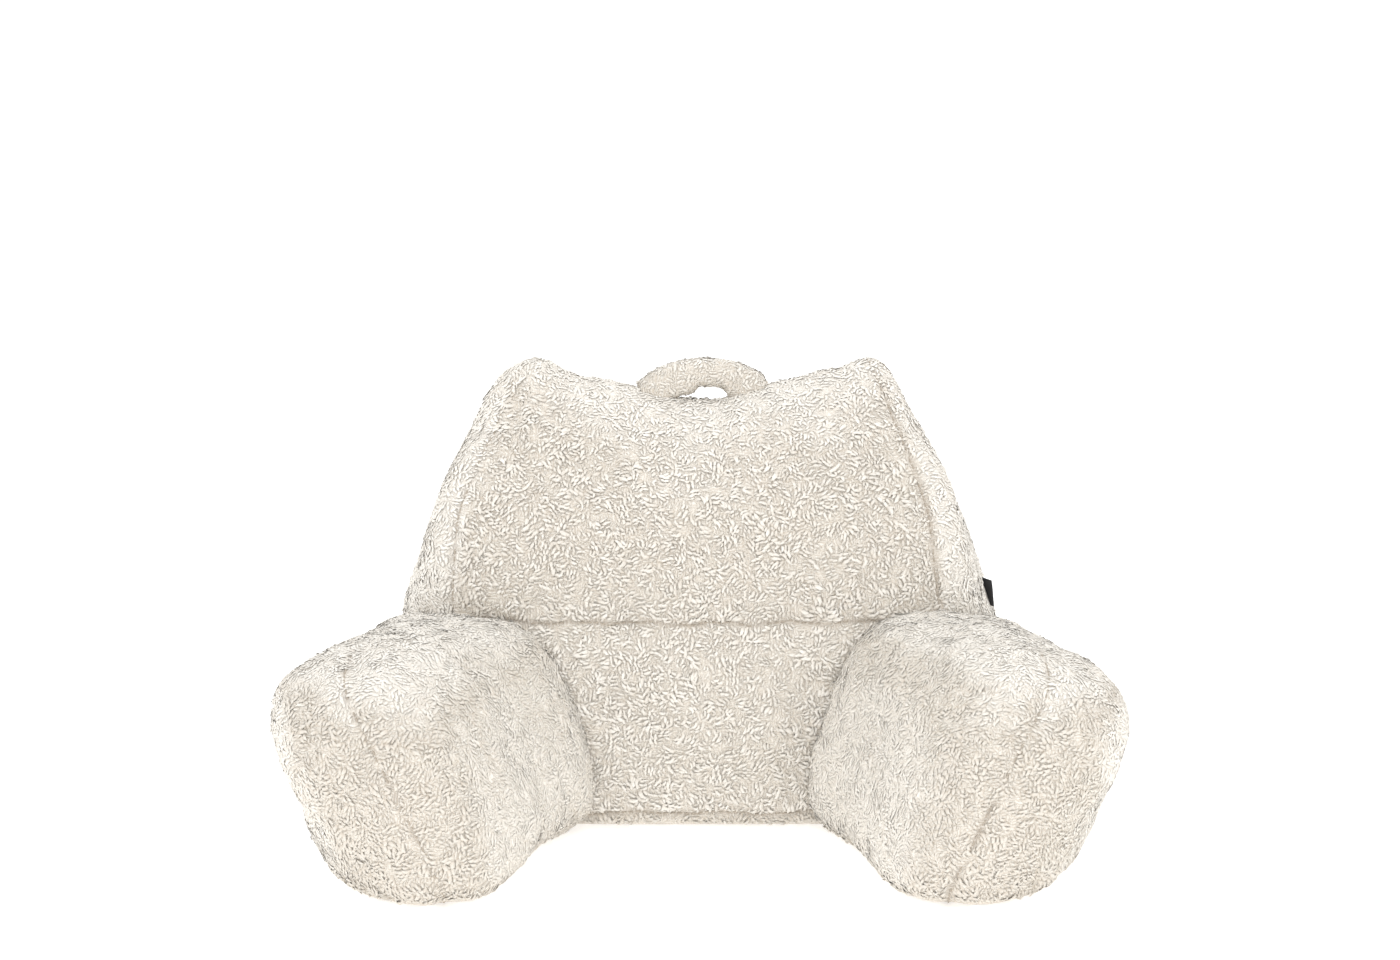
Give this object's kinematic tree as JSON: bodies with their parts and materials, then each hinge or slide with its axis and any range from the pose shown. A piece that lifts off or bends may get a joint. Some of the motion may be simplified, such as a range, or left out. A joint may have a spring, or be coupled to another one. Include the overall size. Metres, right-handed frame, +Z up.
{
  "type": "reading pillow with arms",
  "caption": "Cream curly-pile reading pillow with a wedge back, two splayed padded arms, a top carrying loop and a bare side tab.",
  "frame": {"origin": "middle of the whole pillow's footprint, on the surface that it stands on", "axes": "+X across the pillow to the sitter's left, +Y from the sitter towards the back's rear panel, +Z up"},
  "size_m": [0.8024, 0.5252, 0.4623],
  "materials": {
    "cream_pile": "matt curly pile",
    "black_tab": "matt woven tape"
  },
  "bodies": {
    "root": {"back": "cream_pile", "arm_left": "cream_pile", "arm_right": "cream_pile", "carry_loop": "cream_pile", "side_tab": "black_tab"}
  },
  "joints": []
}
